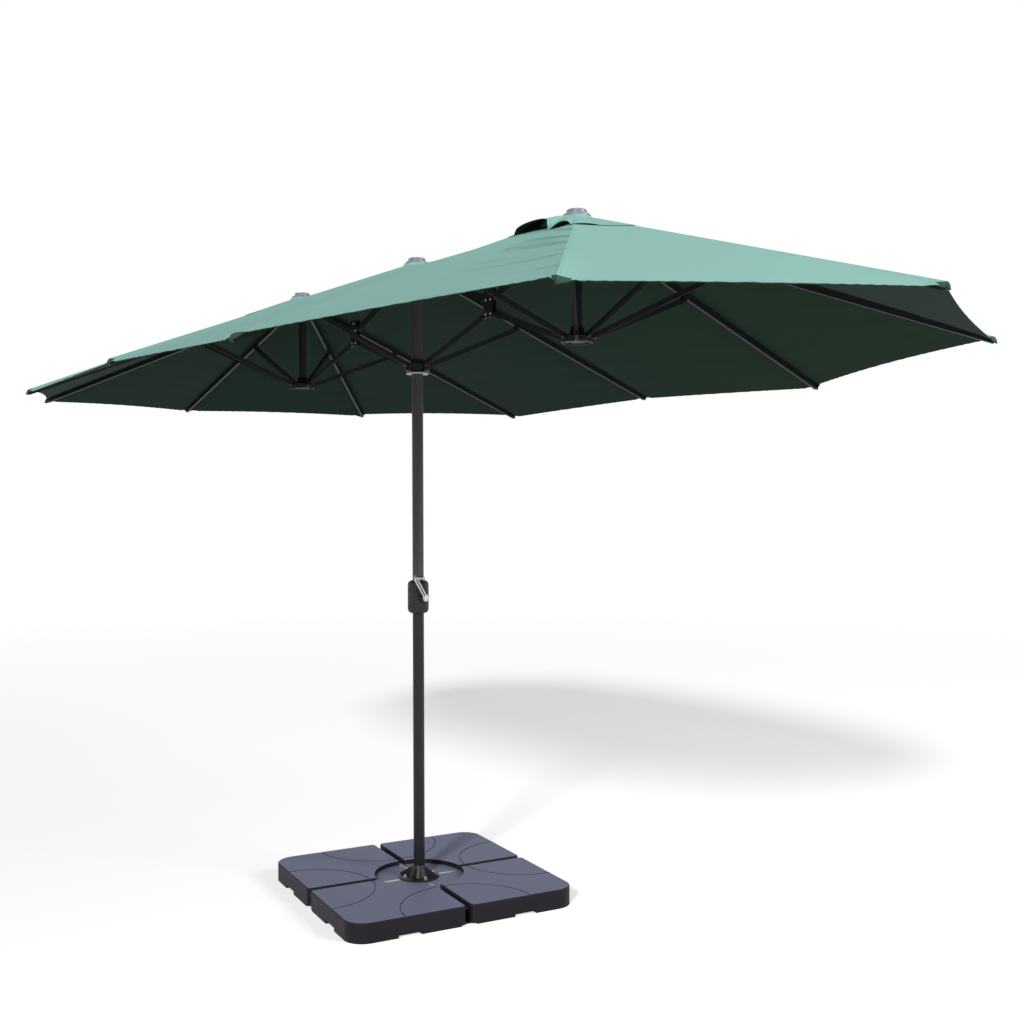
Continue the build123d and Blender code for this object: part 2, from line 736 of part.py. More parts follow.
def build_plate(quarter):
    """Filled ballast plate of one quarter of the stand."""
    middle = plate_gap / 2 + plate_side_length / 2
    with BuildPart() as plate:
        with BuildSketch(base_plane(0, quarter)) as outline:
            with Locations((middle, middle)):
                Rectangle(plate_side_length, plate_side_length)
            corners = outline.vertices().sort_by(lambda v: hypot(v.X, v.Y))
            fillet(corners[-1], plate_corner_radius)
            fillet(outline.vertices().filter_by(
                lambda v: min(abs(v.X), abs(v.Y)) < plate_gap), plate_small_corner_radius)
        extrude(amount=plate_height)
        fillet(plate.edges().group_by(Axis.Z)[-1], plate_edge_radius)
        # round recess about the mast
        with BuildSketch(base_plane(recess_z, quarter)):
            Circle(recess_radius)
        extrude(amount=recess_depth, mode=Mode.SUBTRACT)
        # arcs that mark the corners
        with BuildSketch(base_plane(plate_height, quarter)):
            with Locations((plate_reach, 0), (0, plate_reach)):
                Circle(groove_radius + groove_width / 2)
            with Locations((plate_reach, 0), (0, plate_reach)):
                Circle(groove_radius - groove_width / 2, mode=Mode.SUBTRACT)
        extrude(amount=-groove_depth, mode=Mode.SUBTRACT)
        # rebate over the strips of the cross
        with BuildSketch(base_plane(0, quarter)):
            Rectangle(2 * plate_reach, strip_width + 2 * strip_gap)
            Rectangle(strip_width + 2 * strip_gap, 2 * plate_reach)
        extrude(amount=strip_thickness + strip_gap, mode=Mode.SUBTRACT)
        # finger notches
        with BuildSketch(base_plane(0, quarter)):
            with Locations((plate_reach, middle)):
                Rectangle(2 * notch_depth, notch_length)
            with Locations((middle, plate_reach)):
                Rectangle(notch_length, 2 * notch_depth)
        extrude(amount=notch_height, mode=Mode.SUBTRACT)
    return plate


plate_names = ("plate_right_back", "plate_left_back", "plate_left_front", "plate_right_front")
for quarter, name in enumerate(plate_names):
    save(build_plate(quarter), name)

with BuildPart() as mast_foot:
    with BuildSketch(base_plane(recess_z)):
        Circle(flange_radius)
    extrude(amount=flange_thickness)
    # collar outside the pole, stub inside it
    with BuildSketch(base_plane(foot_z)):
        Circle(collar_radius)
    extrude(amount=collar_height, taper=22)
    for quarter in (0.5, 1.5):
        gusset_plane = Plane(
            origin=(0, 0, foot_z),
            x_dir=base_plane(0, quarter).x_dir,
            z_dir=base_plane(0, quarter - 1).x_dir,
        )
        with BuildSketch(gusset_plane):
            with BuildLine():
                Polyline(
                    (-flange_radius, 0),
                    (flange_radius, 0),
                    (flange_radius, 6),
                    (mast_radius + 6, gusset_height),
                    (-mast_radius - 6, gusset_height),
                    (-flange_radius, 6),
                    close=True,
                )
            make_face()
        extrude(amount=gusset_thickness / 2, both=True)
    with BuildSketch(base_plane(foot_z)):
        Circle(mast_radius + fit_gap)
    extrude(amount=stub_length, mode=Mode.SUBTRACT)
    with BuildSketch(base_plane(foot_z)):
        Circle(mast_bore - fit_gap)
        Circle(mast_bore - fit_gap - stub_wall, mode=Mode.SUBTRACT)
    extrude(amount=stub_length)
save(mast_foot, "mast_foot")

with BuildPart() as fasteners:
    # cap nuts that hold the foot to the cross
    with BuildSketch(base_plane(foot_z)):
        with PolarLocations(bolt_circle_radius, 4):
            Circle(washer_radius)
    extrude(amount=washer_thickness)
    with BuildSketch(base_plane(foot_z + washer_thickness)):
        with PolarLocations(bolt_circle_radius, 4):
            RegularPolygon(bolt_radius, 6)
    extrude(amount=bolt_height / 2)
    with BuildSketch(base_plane(foot_z + washer_thickness + bolt_height / 2)):
        with PolarLocations(bolt_circle_radius, 4):
            Circle(bolt_radius * 0.85)
    extrude(amount=bolt_height / 2, taper=30)
    # screws of the crank's housing, heads on the front shell
    for height in (crank_z - housing_height / 4, crank_z + housing_height / 4):
        with BuildSketch(Plane.XZ.offset(housing_radius)):
            with Locations((0, height)):
                Circle(screw_radius)
        extrude(amount=1.2)
save(fasteners, "fasteners")


# ---------------------------------------------------------------- canopy
def over_rib(hub_x, azimuth, spoke, radius):
    """Point of the canopy's upper face on the straight seam above a rib."""
    angle = open_angle(spoke)
    tip_radius = spoke[0] - tip_show_length
    tip_z = hinge_z - (tip_radius - hinge_radius) * tan(angle)
    tip_z += rib_height / 2 / cos(angle) + rib_gap + fabric_thickness
    start_z = fabric_top_z - seam_depth
    share = (radius - clamp_radius) / (tip_radius - clamp_radius)
    return radial_point(hub_x, azimuth, radius, start_z + (tip_z - start_z) * share)


def cut_panel(corners, free_edge=False):
    """Flat panel of fabric; its last side may be a free edge that bows inwards."""
    sides = [Line(a, b) for a, b in zip(corners, corners[1:])]
    first, last = corners[0], corners[-1]
    if free_edge:
        bow = (corners[1] - (first + last) / 2).normalized() * edge_sag * (last - first).length
        sides.append(ThreePointArc(last, (first + last) / 2 + bow, first))
    else:
        sides.append(Line(last, first))
    return Face(Wire(sides))


def fabric(panel):
    """Adds the panel to the part being built, thickened straight down."""
    extrude(to_extrude=panel, amount=fabric_thickness, dir=(0, 0, -1))


def clamp_ring(hub_x, azimuths):
    """Corners of the flat ring of fabric that a cap clamps."""
    return [radial_point(hub_x, azimuth, clamp_radius, fabric_top_z) for azimuth in azimuths]


with BuildPart() as canopy:
    # outer panels of each half, from the vent to the free edge
    for hand in hands.values():
        hub_x = hand * hub_spacing
        inner, outer = [], []
        for azimuth, spoke in right_spokes.values():
            turned = hand_azimuth(hand, azimuth)
            inner.append(over_rib(hub_x, turned, spoke, vent_radius))
            outer.append(over_rib(hub_x, turned, spoke, spoke[0] - tip_show_length))
        for a, b, tip_a, tip_b in zip(inner, inner[1:], outer, outer[1:]):
            fabric(cut_panel([tip_a, a, tip_b], free_edge=True))
            fabric(cut_panel([a, b, tip_b]))
        # panels between this hub and the mast
        ridge_in = Vector(hand * shoulder_radius, 0, ridge_z)
        ridge_out = Vector(hand * (hub_spacing - vent_radius), 0, ridge_z)
        ends = (("back", 90, inner[0], outer[0]), ("front", 270, inner[-1], outer[-1]))
        for name, azimuth, side_in, side_tip in ends:
            middle_in = over_rib(0, azimuth, middle_spoke, shoulder_radius)
            middle_tip = over_rib(0, azimuth, middle_spoke, middle_reach - tip_show_length)
            fabric(cut_panel([middle_tip, ridge_in, side_tip], free_edge=True))
            fabric(cut_panel([ridge_in, ridge_out, side_tip]))
            fabric(cut_panel([ridge_out, side_in, side_tip]))
            fabric(cut_panel([middle_in, ridge_in, middle_tip]))
            # shoulder down from the centre hub
            slant = 45 if hand > 0 else 135
            ring = clamp_ring(0, (hand_azimuth(hand, 0), slant, 90))
            if azimuth == 270:
                ring = [Vector(p.X, -p.Y, p.Z) for p in ring]
            fabric(cut_panel([ring[0], ridge_in, ring[1]]))
            fabric(cut_panel([ring[1], ridge_in, middle_in]))
            fabric(cut_panel([ring[1], middle_in, ring[2]]))
    fabric(cut_panel(clamp_ring(0, range(0, 360, 45))))
    with BuildSketch(level_plane(0, fabric_top_z)):
        Circle(fabric_hole)
    extrude(amount=-2 * fabric_thickness, mode=Mode.SUBTRACT)
save(canopy, "canopy")

for hand_name, hand in hands.items():
    lift = Vector(0, 0, flap_gap + fabric_thickness)
    hub_x = hand * hub_spacing
    with BuildPart() as vent_flap:
        rim, azimuths = [], []
        for azimuth, spoke in right_spokes.values():
            turned = hand_azimuth(hand, azimuth)
            azimuths.append(turned)
            rim.append(over_rib(hub_x, turned, spoke, flap_radius) + lift)
        # the inward side lies on the panels beside the ridge
        side_tip = over_rib(hub_x, 90, side_spoke, side_reach - tip_show_length)
        fall = (ridge_z - side_tip.Z) / side_tip.Y
        for azimuth in (-135, 180, 135):
            turned = hand_azimuth(hand, azimuth)
            azimuths.append(turned)
            edge = radial_point(hub_x, turned, flap_radius, 0)
            level = ridge_z - fall * abs(edge.Y) + flap_arch_height
            rim.append(Vector(edge.X, edge.Y, level) + lift)
        ring = clamp_ring(hub_x, azimuths)
        for index, (a, b) in enumerate(zip(ring, rim)):
            next_a = ring[(index + 1) % len(ring)]
            next_b = rim[(index + 1) % len(rim)]
            fabric(cut_panel([a, b, next_b]))
            fabric(cut_panel([a, next_b, next_a]))
        fabric(cut_panel(ring))
        with BuildSketch(level_plane(hub_x, fabric_top_z)):
            Circle(fabric_hole)
        extrude(amount=-2 * fabric_thickness, mode=Mode.SUBTRACT)
    save(vent_flap, f"{hand_name}_vent_flap")
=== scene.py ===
import json
import math

import bmesh
import bpy
import numpy as np
from mathutils import Matrix, Vector


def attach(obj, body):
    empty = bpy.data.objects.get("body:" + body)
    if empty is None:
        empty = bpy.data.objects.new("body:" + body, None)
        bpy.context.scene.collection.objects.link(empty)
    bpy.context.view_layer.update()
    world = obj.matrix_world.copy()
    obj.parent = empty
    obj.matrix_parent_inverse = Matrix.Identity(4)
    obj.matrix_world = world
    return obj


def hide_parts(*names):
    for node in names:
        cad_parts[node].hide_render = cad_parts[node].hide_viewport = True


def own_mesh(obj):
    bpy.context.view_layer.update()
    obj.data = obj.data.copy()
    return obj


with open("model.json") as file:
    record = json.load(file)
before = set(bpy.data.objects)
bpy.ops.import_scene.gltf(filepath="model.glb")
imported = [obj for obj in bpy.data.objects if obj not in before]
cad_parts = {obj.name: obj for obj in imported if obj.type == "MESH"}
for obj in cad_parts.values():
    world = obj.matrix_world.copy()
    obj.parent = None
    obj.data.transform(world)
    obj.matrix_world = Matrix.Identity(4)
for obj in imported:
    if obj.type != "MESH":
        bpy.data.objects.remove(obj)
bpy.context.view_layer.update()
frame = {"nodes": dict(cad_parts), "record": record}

scene = bpy.context.scene
hands = (("right", 1), ("left", -1))  # each hand with the sign of its x
flanks = (("back", 1), ("front", -1))  # each flank with the sign of its y


def linear(*srgb):  # a colour of 0 to 255 per channel, as light
    return tuple(((c / 255 + 0.055) / 1.055) ** 2.4 if c > 10 else c / 255 / 12.92 for c in srgb) + (1.0,)


def feed(tree, socket, value):  # a socket takes another node's output, or a fixed value
    if isinstance(value, bpy.types.NodeSocket):
        tree.links.new(value, socket)
    else:
        socket.default_value = value


def node(tree, kind, **inputs):  # a new node with its inputs given by name
    made = tree.nodes.new(kind)
    for name, value in inputs.items():
        feed(tree, made.inputs[name], value)
    return made


def reckon(tree, kind, first, second=0.0):  # one step of arithmetic
    made = tree.nodes.new("ShaderNodeMath")
    made.operation = kind
    feed(tree, made.inputs[0], first)
    feed(tree, made.inputs[1], second)
    return made.outputs[0]


def atMostOne(tree, value):  # held between 0 and 1
    return reckon(tree, "MINIMUM", reckon(tree, "MAXIMUM", value, 0.0), 1.0)


def mixTones(tree, share, first, second):  # first where share is 0, second where it is 1
    mix = tree.nodes.new("ShaderNodeMix")
    mix.data_type = "RGBA"
    for index, value in ((0, share), (6, first), (7, second)):
        feed(tree, mix.inputs[index], value)
    return mix.outputs[2]


# Camera, lamps, surroundings and floor, in metres and radians.
lookFrom = {
    "lens": 42.67, "place": (3.91688, -2.48371, 1.47813),
    "yaw": 0.928303, "pitch": -0.007483, "roll": -0.003271,
}
lamps = {  # kind, energy, place, the point it faces, and its own settings
    "overhead": ("AREA", 30.0, (1.2, -0.6, 6.4), (0.3, 0, 2.0), {"shape": "DISK", "size": 8.0}),
    "side": ("AREA", 290.0, (6.5, 3.0, 4.1), (0.6, 0, 2.1), {"shape": "DISK", "size": 3.0}),
    "sun": ("SUN", 2.2, (2.54, -3.61, 2.30), (0, 0, 0), {"angle": 0.15}),
}
studio = {"seen": (1, 1, 1, 1), "lit": (0.95, 0.97, 1.0, 1), "strength": 0.11}
floor = {  # the floor's own light grows from the first share to the second over its reach
    "size": 60.0, "below": -0.0006, "grey": 0.9, "reach": (4.0, 16.0), "shown": (0.475, 0.66),
}


def addCamera(values):  # turns the level view by pitch, then by roll
    right = np.array([math.cos(values["yaw"]), math.sin(values["yaw"]), 0])
    ahead = np.array([-right[1], right[0], 0])
    up = np.array([0, 0, 1.0])
    c, s = math.cos(values["pitch"]), math.sin(values["pitch"])
    ahead, up = c * ahead + s * up, c * up - s * ahead
    c, s = math.cos(values["roll"]), math.sin(values["roll"])
    right, up = c * right + s * up, c * up - s * right
    camera = bpy.data.objects.new("camera", bpy.data.cameras.new("camera"))
    turn = Matrix(np.stack([right, up, -ahead], 1).tolist()).to_4x4()
    camera.matrix_world = Matrix.Translation(values["place"]) @ turn
    camera.data.lens = values["lens"]
    camera.data.clip_end = 100
    scene.collection.objects.link(camera)
    scene.camera = camera


def addLamp(name, kind, energy, place, towards, more):
    lamp = bpy.data.objects.new(name, bpy.data.lights.new(name, kind))
    lamp.data.energy = energy
    for key, value in more.items():
        setattr(lamp.data, key, value)
    lamp.location = place
    lamp.rotation_mode = "QUATERNION"
    lamp.rotation_quaternion = (Vector(towards) - Vector(place)).to_track_quat("-Z", "Y")
    scene.collection.objects.link(lamp)


def seenShare(tree):  # 1 for camera, glossy and transmission rays, 0 for the rest
    path = tree.nodes.new("ShaderNodeLightPath")
    share = path.outputs["Is Camera Ray"]
    for name in ("Is Glossy Ray", "Is Transmission Ray"):
        share = reckon(tree, "MAXIMUM", share, path.outputs[name])
    return share


def addWorld():  # one tone to be seen, another to light the scene
    world = bpy.data.worlds.new("studio")
    scene.world = world
    world.use_nodes = True
    tree = world.node_tree
    seen, lit = tree.nodes["Background"], tree.nodes.new("ShaderNodeBackground")
    seen.inputs["Color"].default_value = studio["seen"]
    lit.inputs["Color"].default_value = studio["lit"]
    lit.inputs["Strength"].default_value = studio["strength"]
    mix = tree.nodes.new("ShaderNodeMixShader")
    for index, output in enumerate((seenShare(tree), lit.outputs[0], seen.outputs[0])):
        tree.links.new(output, mix.inputs[index])
    tree.links.new(mix.outputs[0], tree.nodes["World Output"].inputs[0])


def addFloor():  # its own light fills up to white where no shadow falls
    size, low = floor["size"], floor["below"]
    corners = [(-size, -size, low), (size, -size, low), (size, size, low), (-size, size, low)]
    mesh = bpy.data.meshes.new("floor")
    mesh.from_pydata(corners, [], [(0, 1, 2, 3)])
    piece = bpy.data.objects.new("floor", mesh)
    scene.collection.objects.link(piece)
    material = bpy.data.materials.new("floorWhite")
    material.use_nodes = True
    tree = material.node_tree
    shader = tree.nodes["Principled BSDF"]
    shader.inputs["Base Color"].default_value = (floor["grey"],) * 3 + (1,)
    shader.inputs["Roughness"].default_value = 1.0
    shader.inputs["Specular IOR Level"].default_value = 0.0
    shader.inputs["Emission Color"].default_value = (1, 1, 1, 1)
    away = tree.nodes.new("ShaderNodeVectorMath")
    away.operation = "LENGTH"
    feed(tree, away.inputs[0], node(tree, "ShaderNodeTexCoord").outputs["Object"])
    shown = tree.nodes.new("ShaderNodeMapRange")
    for index, value in enumerate((away.outputs["Value"],) + floor["reach"] + floor["shown"]):
        feed(tree, shown.inputs[index], value)
    strength = reckon(tree, "MULTIPLY", seenShare(tree), shown.outputs[0])
    tree.links.new(strength, shader.inputs["Emission Strength"])
    mesh.materials.append(material)


scene.view_settings.view_transform = "Standard"
addCamera(lookFrom)
for name, values in lamps.items():
    addLamp(name, *values)
addWorld()
addFloor()
print("stage ready")


# Finishes: two tones of colour, roughness, and the scale and height of the grain. What several share is
# written once.
usualFinish = {"patch": 3.0, "grain": 60.0, "bump": 0.1, "depth": 0.0005, "metal": 0.0, "spec": 0.5}
woven = {"rough": 0.9, "grain": 700.0, "patch": 0.9, "bump": 0.15}
coated = {"grain": 700.0, "patch": 6.0, "bump": 0.08}
moulded = {"tones": ((27, 27, 29), (20, 20, 22)), "grain": 500.0, "bump": 0.12}
plated = {
    "tones": ((178, 180, 186), (150, 153, 160)), "rough": 0.35, "metal": 0.85, "grain": 150.0, "bump": 0.06,
}
topCloth = {
    **woven, "tones": ((146, 192, 183), (136, 182, 172)), "spec": 0.12,
    "stitch": (122, 168, 158), "wrinkle": 0.0035,
}
finishes = {
    "canopyTop": topCloth,
    # painted shade: darker bands of noise on the folds left of one seam
    "canopyFoldShade": {**topCloth, "foldShade": (0.75, (84, 130, 116))},
    # painted shade: the underside is a darker copy of the top cloth's green, for the shade beneath the canopy
    "canopyUnderShade": {**woven, "tones": ((35, 56, 44), (30, 49, 38)), "spec": 0.1, "stitch": (34, 58, 45)},
    # painted shade: a darker green for the cloth turned down over the ribs' ends
    "noseShade": {"tones": ((60, 92, 76), (52, 82, 67)), "rough": 0.9, "spec": 0.1},
    "frameMetal": {**coated, "tones": ((33, 33, 35), (26, 26, 28)), "rough": 0.45, "spec": 0.25},
    "pole": {
        **coated, "tones": ((22, 22, 25), (18, 18, 21)), "rough": 0.38, "spec": 0.3,
        "past": ("Z", 1.12, (80, 79, 78)),
    },
    "blackPlastic": {**moulded, "rough": 0.5, "spec": 0.3},
    "housing": {**moulded, "rough": 0.4, "spec": 0.35, "flutes": (44, 0.0009)},
    "capPlastic": {"tones": ((132, 134, 150), (118, 120, 136)), "rough": 0.35, "grain": 300.0, "bump": 0.06},
    "whitePlastic": {"tones": ((196, 196, 194), (184, 184, 182)), "rough": 0.4, "grain": 300.0, "bump": 0.04},
    # painted light: the tops are painted paler than the dark sides, as if lit from above
    "platePlastic": {
        "tones": ((28, 27, 32), (23, 22, 27)), "paintedTopTone": (112, 115, 142), "rough": 0.55, "spec": 0.15,
        "grain": 420.0, "patch": 4.0, "bump": 0.3, "depth": 0.0006,
    },
    "silver": {
        "tones": ((178, 179, 183), (150, 151, 156)), "rough": 0.3, "metal": 0.9, "grain": 200.0, "bump": 0.05,
    },
    "armSilver": {
        "tones": ((104, 105, 108), (88, 89, 92)), "rough": 0.35, "metal": 0.8, "grain": 200.0, "bump": 0.05,
        "past": ("X", 0.0549, (190, 191, 195)),
    },
    "steel": plated,
    # painted shade: the arms are dark where they run in the narrow gaps between the plates
    "crossSteel": {**plated, "shadeBeyond": (0.19, (26, 26, 28))},
    "boltSteel": {
        "tones": ((150, 152, 158), (122, 124, 130)), "rough": 0.35, "metal": 0.85,
        "grain": 200.0, "bump": 0.04, "past": ("Z", 0.6, (24, 24, 26)),
    },
    "rivetSteel": {
        "tones": ((190, 192, 196), (168, 170, 176)), "rough": 0.3, "metal": 0.6, "grain": 150.0, "bump": 0.03,
    },
}
bySlot = {  # material slots of the frame
    "canopy_top": "canopyTop", "canopy_under": "canopyUnderShade", "canopy_cloth": "noseShade",
    "frame_metal": "frameMetal", "black_plastic": "blackPlastic", "cap_plastic": "capPlastic",
    "plate_plastic": "platePlastic", "silver": "silver", "steel": "steel",
}
nodesOf = {  # finishes of single nodes, in place of their slot's
    "pole": ("lower_pole", "upper_pole"), "housing": ("crank_housing_front", "crank_housing_back"),
    "crossSteel": ("cross_base",), "boltSteel": ("fasteners",), "armSilver": ("crank_arm",),
}
stitching = {"fromSeam": 0.0060, "fromHem": 0.0175, "halfWidth": 0.0009, "strength": 0.55}
wrinkling = {"stretch": (1.5, 11.0, 1.0), "detail": 2.5, "roughness": 0.5}
foldShading = {"reach": 0.4, "contrast": 6.5}
paintedTopLight = {"from": 0.82, "steepness": 6.0}  # how far up a face looks before it takes the painted light of the tops


# On cloth X is the distance from the seam, below zero on its left, and Y the distance from the hem, in
# metres.
def uvAxes(tree):
    return node(tree, "ShaderNodeSeparateXYZ", Vector=node(tree, "ShaderNodeUVMap").outputs["UV"]).outputs


# Seam and hem lines on cloth: the points within half a line's width of either distance.
def stitchShare(tree):
    uv = uvAxes(tree)
    side = reckon(tree, "ABSOLUTE", uv["X"])
    lines = []
    for distance, place in ((side, stitching["fromSeam"]), (uv["Y"], stitching["fromHem"])):
        off = reckon(tree, "ABSOLUTE", reckon(tree, "SUBTRACT", distance, place))
        lines.append(reckon(tree, "LESS_THAN", off, stitching["halfWidth"]))
    return reckon(tree, "MULTIPLY", reckon(tree, "MAXIMUM", *lines), stitching["strength"])


# Noise about zero, drawn out across the seam: it changes slowly away from the seam and fast along it.
def drawnNoise(tree):
    spot = tree.nodes.new("ShaderNodeVectorMath")
    spot.operation = "MULTIPLY"
    feed(tree, spot.inputs[0], node(tree, "ShaderNodeUVMap").outputs["UV"])
    feed(tree, spot.inputs[1], wrinkling["stretch"])
    soft = node(
        tree, "ShaderNodeTexNoise", Vector=spot.outputs[0], Scale=1.0,
        Detail=wrinkling["detail"], Roughness=wrinkling["roughness"],
    )
    return reckon(tree, "SUBTRACT", soft.outputs["Fac"], 0.5)


# Painted shade in the folds on the left of the seam: the noise above zero, full beside the seam and falling
# evenly to nothing at its reach.
def foldShadeShare(tree):
    uv = uvAxes(tree)
    away = reckon(tree, "MULTIPLY", reckon(tree, "ABSOLUTE", uv["X"]), 1 / foldShading["reach"])
    fade = reckon(tree, "MAXIMUM", reckon(tree, "SUBTRACT", 1.0, away), 0.0)
    fade = reckon(tree, "MULTIPLY", fade, reckon(tree, "LESS_THAN", uv["X"], 0.0))
    low = atMostOne(tree, reckon(tree, "MULTIPLY", drawnNoise(tree), foldShading["contrast"]))
    return reckon(tree, "MULTIPLY", low, fade)


def paintedTopShare(tree):  # 1 on faces that look up, where the tops take painted light
    facing = node(tree, "ShaderNodeSeparateXYZ", Vector=node(tree, "ShaderNodeNewGeometry").outputs["Normal"])
    above = reckon(tree, "SUBTRACT", facing.outputs["Z"], paintedTopLight["from"])
    return atMostOne(tree, reckon(tree, "MULTIPLY", above, paintedTopLight["steepness"]))


def toneOf(tree, values, place, axes):
    pale, deep = (linear(*tone) for tone in values["tones"])
    broad = node(tree, "ShaderNodeTexNoise", Vector=place, Scale=values["patch"], Detail=4.0)
    colour = mixTones(tree, broad.outputs["Fac"], deep, pale)
    if "past" in values:  # another tone past a limit on an axis
        axisName, limit, tone = values["past"]
        colour = mixTones(tree, reckon(tree, "GREATER_THAN", axes[axisName], limit), colour, linear(*tone))
    if "shadeBeyond" in values:  # painted shade: another tone where x or y is further than this from the mast, in the gaps between the plates
        limit, tone = values["shadeBeyond"]
        away = reckon(tree, "MAXIMUM", *(reckon(tree, "ABSOLUTE", axes[name]) for name in "XY"))
        colour = mixTones(tree, reckon(tree, "GREATER_THAN", away, limit), colour, linear(*tone))
    if "paintedTopTone" in values:  # painted light: faces that look up are painted paler
        colour = mixTones(tree, paintedTopShare(tree), colour, linear(*values["paintedTopTone"]))
    # painted shade in the folds, where the noise is above zero
    if "foldShade" in values:
        strength, tone = values["foldShade"]
        colour = mixTones(tree, reckon(tree, "MULTIPLY", foldShadeShare(tree), strength), colour, linear(*tone))
    if "stitch" in values:
        colour = mixTones(tree, stitchShare(tree), colour, linear(*values["stitch"]))
    return colour


def bump(tree, height, strength, distance, **more):
    made = node(tree, "ShaderNodeBump", Height=height, Strength=strength, Distance=distance, **more)
    return made.outputs["Normal"]


def reliefOf(tree, values, place, axes):
    fine = node(tree, "ShaderNodeTexNoise", Vector=place, Scale=values["grain"], Detail=3.0)
    relief = bump(tree, fine.outputs["Fac"], values["bump"], values["depth"])
    if "wrinkle" in values:
        height = reckon(tree, "MULTIPLY", drawnNoise(tree), values["wrinkle"])
        relief = bump(tree, height, 1.0, 1.0, Normal=relief)
    if "flutes" in values:  # a count of upright ribs: the sine of so many times the angle round the mast
        count, deep = values["flutes"]
        turn = reckon(tree, "ARCTAN2", axes["Y"], axes["X"])
        wave = reckon(tree, "SINE", reckon(tree, "MULTIPLY", turn, count))
        relief = bump(tree, wave, 0.8, deep, Normal=relief)
    return relief


def paint(name):
    values = {**usualFinish, **finishes[name]}
    material = bpy.data.materials.new(name)
    material.use_nodes = True
    tree = material.node_tree
    shader = tree.nodes["Principled BSDF"]
    place = node(tree, "ShaderNodeTexCoord").outputs["Object"]
    axes = node(tree, "ShaderNodeSeparateXYZ", Vector=place).outputs
    tree.links.new(toneOf(tree, values, place, axes), shader.inputs["Base Color"])
    tree.links.new(reliefOf(tree, values, place, axes), shader.inputs["Normal"])
    for socket, key in (("Roughness", "rough"), ("Metallic", "metal"), ("Specular IOR Level", "spec")):
        shader.inputs[socket].default_value = values[key]
    return material


paints = {slot: paint(name) for slot, name in bySlot.items()}
slots = {part["node"]: part["material_slot"] for part in frame["record"]["subparts"]}
for name, piece in frame["nodes"].items():
    piece.data.materials.clear()
    piece.data.materials.append(paints[slots[name]])
for finish, names in nodesOf.items():
    material = paint(finish)
    for name in names:
        frame["nodes"][name].data.materials[0] = material
extra = {name: paint(name) for name in ("rivetSteel", "whitePlastic", "canopyFoldShade")}
print("finishes ready")


# The canopy, in metres. A rib has its azimuth, its reach and its drop from the hinge.
cloth = {
    "spacing": 0.947, "hinge": (0.038, 2.3610), "clamp": 0.048, "topZ": 2.3867,
    "seamDepth": 0.009, "ridgeZ": 2.3800, "vent": 0.150, "strip": 0.060, "hole": 0.030,
    "pastTip": 0.005, "overRib": 0.0035, "ribHalf": 0.009,
    "thick": 0.0016, "hem": 0.020, "hemThick": 0.0014, "hemEdge": 0.002,
    "tent": 0.30, "tentHem": 0.06, "dish": 0.004, "collarStart": 0.002, "collarWidth": 0.010,
}
ribs = {
    "end": (0.0, 1.334, 0.389), "corner": (41.9, 1.258, 0.406),
    "side": (90.0, 1.174, 0.454), "middle": (90.0, 1.178, 0.427),
}
hems = {  # inward bow as a share of the chord, and drop as a share of the cloth's height over the ribs' axes
    "span": (0.004, 1.0), "side": (0.016, 0.25), "end": (0.018, 1.0),
}
nose = {  # the cloth turned down over a rib's end, with its half widths on the two sides of the seam
    "deep": 0.017, "long": 0.011, "out": 0.011,
    "middle": (0.022, 0.022), "side": (0.018, 0.036), "corner": (0.017, 0.036), "end": (0.022, 0.022),
}
folds = {
    "seamHeight": 0.0007, "seamReach": 0.035, "seamWave": 0.041, "seamSlant": 30, "seamFlat": 0.008,
    "hemHeight": 0.0006, "hemReach": 0.025, "hemWave": 0.031,
    "wideWave": 0.128, "wideDrift": 0.22, "wideRamp": 0.06, "wideFade": 0.2, "wideStart": 0.15,
    "driftHem": 8, "driftSeam": 6, "driftBoth": 2, "overtone": 0.3,
}
drawn = {"canopy_right_front_corner": (0.0025, 0.0005)}  # height of the wide folds left and right of one seam
usualDrawn = (0.0008, 0.0008)  # and of all others
grid = {"hemFrom": 0.986, "rowsAbove": 178, "rowsAtHem": 13, "halfColumns": 34, "seamCrowd": 1.7}
rowSteps = np.concatenate([  # from hub to hem, closer together at the hem
    np.linspace(0, grid["hemFrom"], grid["rowsAbove"]),
    np.linspace(grid["hemFrom"], 1, grid["rowsAtHem"])[1:],
])
halfSteps = np.linspace(0, 1, grid["halfColumns"]) ** grid["seamCrowd"]  # from a seam to a panel's middle
spacing = cloth["spacing"]
cornerTurn = ribs["corner"][0]


# A rib's plan direction, the radius of its cloth, the cloth's heights at the clamp and over the rib's end,
# and the height of the rib's axis there.
def ribOf(kind):
    azimuth, reach, drop = ribs[kind]
    inner, hingeZ = cloth["hinge"]
    slope = drop / (reach - inner)
    tip = reach + cloth["pastTip"]
    axisZ = hingeZ - (tip - inner) * slope
    tipZ = axisZ + cloth["ribHalf"] * math.hypot(1, slope) + cloth["overRib"]
    turn = math.radians(azimuth)
    way = np.array([math.cos(turn), math.sin(turn)])
    startZ = cloth["topZ"] - cloth["seamDepth"]
    return {"way": way, "tip": tip, "startZ": startZ, "tipZ": tipZ, "axisZ": axisZ}


seams = {kind: ribOf(kind) for kind in ribs}


def seamZ(kind, radius):  # the straight seam above a rib
    seam, clamp = seams[kind], cloth["clamp"]
    return seam["startZ"] + (seam["tipZ"] - seam["startZ"]) * (radius - clamp) / (seam["tip"] - clamp)


# How much of the seam's lift is left: the square of an even fall to nothing, over a width that narrows from
# hub to hem.
def tentFade(off, t):
    width = cloth["tent"] + (cloth["tentHem"] - cloth["tent"]) * np.clip(t, 0, 1)
    return np.clip(1 - off / width, 0, 1) ** 2


def hemOf(kind, other):  # the bow and drop of the hem between two ribs round a side hub
    return hems["end" if "end" in (kind, other) else "side"]


